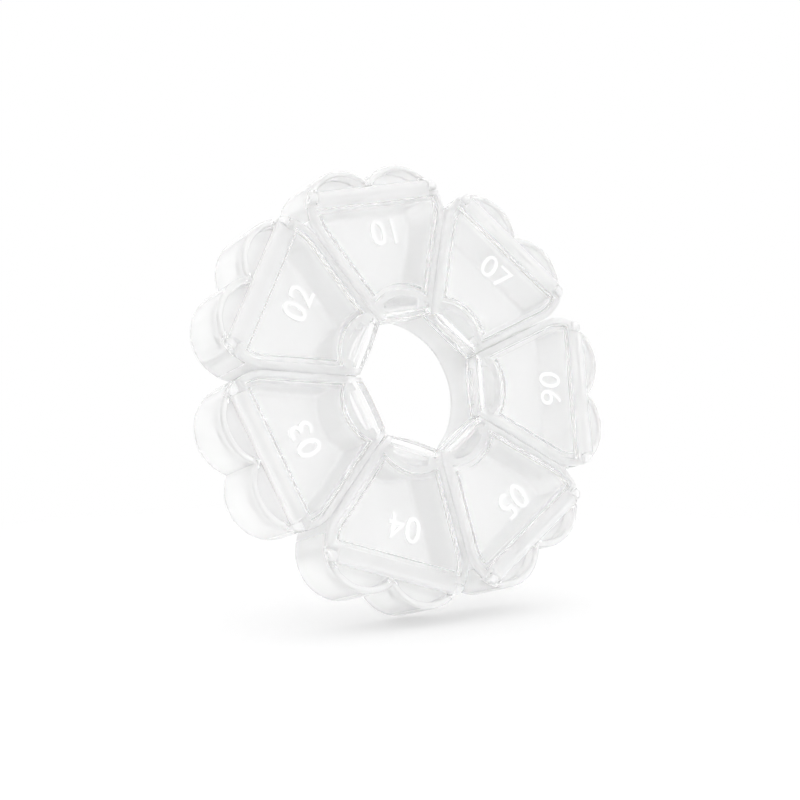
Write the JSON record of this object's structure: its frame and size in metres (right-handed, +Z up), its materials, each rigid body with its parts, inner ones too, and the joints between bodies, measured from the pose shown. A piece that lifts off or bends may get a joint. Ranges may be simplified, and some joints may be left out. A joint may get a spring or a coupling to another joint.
{
  "type": "weekly pill box",
  "caption": "Flat round pill box of clear plastic: heart-shaped lidded cups set like petals round an open hub ring.",
  "frame": {"origin": "centre of the underside, at the middle of the overall width and depth", "axes": "+Z up through the lids, +Y along the axis of petal 1, X to the right"},
  "size_m": [0.1098, 0.1076, 0.0172],
  "materials": {
    "cup_plastic": "clear",
    "lid_plastic": "clear",
    "pin_plastic": "clear",
    "ring_plastic": "slightly hazy clear"
  },
  "bodies": {
    "box": {"hub_ring": "ring_plastic", "cup_1": "cup_plastic", "hinge_pin_1": "pin_plastic", "cup_2": "cup_plastic", "hinge_pin_2": "pin_plastic", "cup_3": "cup_plastic", "hinge_pin_3": "pin_plastic", "cup_4": "cup_plastic", "hinge_pin_4": "pin_plastic", "cup_5": "cup_plastic", "hinge_pin_5": "pin_plastic", "cup_6": "cup_plastic", "hinge_pin_6": "pin_plastic", "cup_7": "cup_plastic", "hinge_pin_7": "pin_plastic"},
    "lid_1": {"lid_1": "lid_plastic"},
    "lid_2": {"lid_2": "lid_plastic"},
    "lid_3": {"lid_3": "lid_plastic"},
    "lid_4": {"lid_4": "lid_plastic"},
    "lid_5": {"lid_5": "lid_plastic"},
    "lid_6": {"lid_6": "lid_plastic"},
    "lid_7": {"lid_7": "lid_plastic"}
  },
  "joints": [
    {"name": "lid_1_hinge", "type": "hinge", "parent": "box", "child": "lid_1", "pos_m": [0, 0.04742, 0.01585], "axis": [-1, 0, 0], "range_deg": [0, 120]},
    {"name": "lid_2_hinge", "type": "hinge", "parent": "box", "child": "lid_2", "pos_m": [-0.03737, 0.02942, 0.01585], "axis": [-0.6235, -0.7818, 0], "range_deg": [0, 120]},
    {"name": "lid_3_hinge", "type": "hinge", "parent": "box", "child": "lid_3", "pos_m": [-0.0466, -0.01102, 0.01585], "axis": [0.2225, -0.9749, 0], "range_deg": [0, 120]},
    {"name": "lid_4_hinge", "type": "hinge", "parent": "box", "child": "lid_4", "pos_m": [-0.02074, -0.04345, 0.01585], "axis": [0.901, -0.4339, 0], "range_deg": [0, 120]},
    {"name": "lid_5_hinge", "type": "hinge", "parent": "box", "child": "lid_5", "pos_m": [0.02074, -0.04345, 0.01585], "axis": [0.901, 0.4339, 0], "range_deg": [0, 120]},
    {"name": "lid_6_hinge", "type": "hinge", "parent": "box", "child": "lid_6", "pos_m": [0.0466, -0.01102, 0.01585], "axis": [0.2225, 0.9749, 0], "range_deg": [0, 120]},
    {"name": "lid_7_hinge", "type": "hinge", "parent": "box", "child": "lid_7", "pos_m": [0.03737, 0.02942, 0.01585], "axis": [-0.6235, 0.7818, 0], "range_deg": [0, 120]}
  ]
}
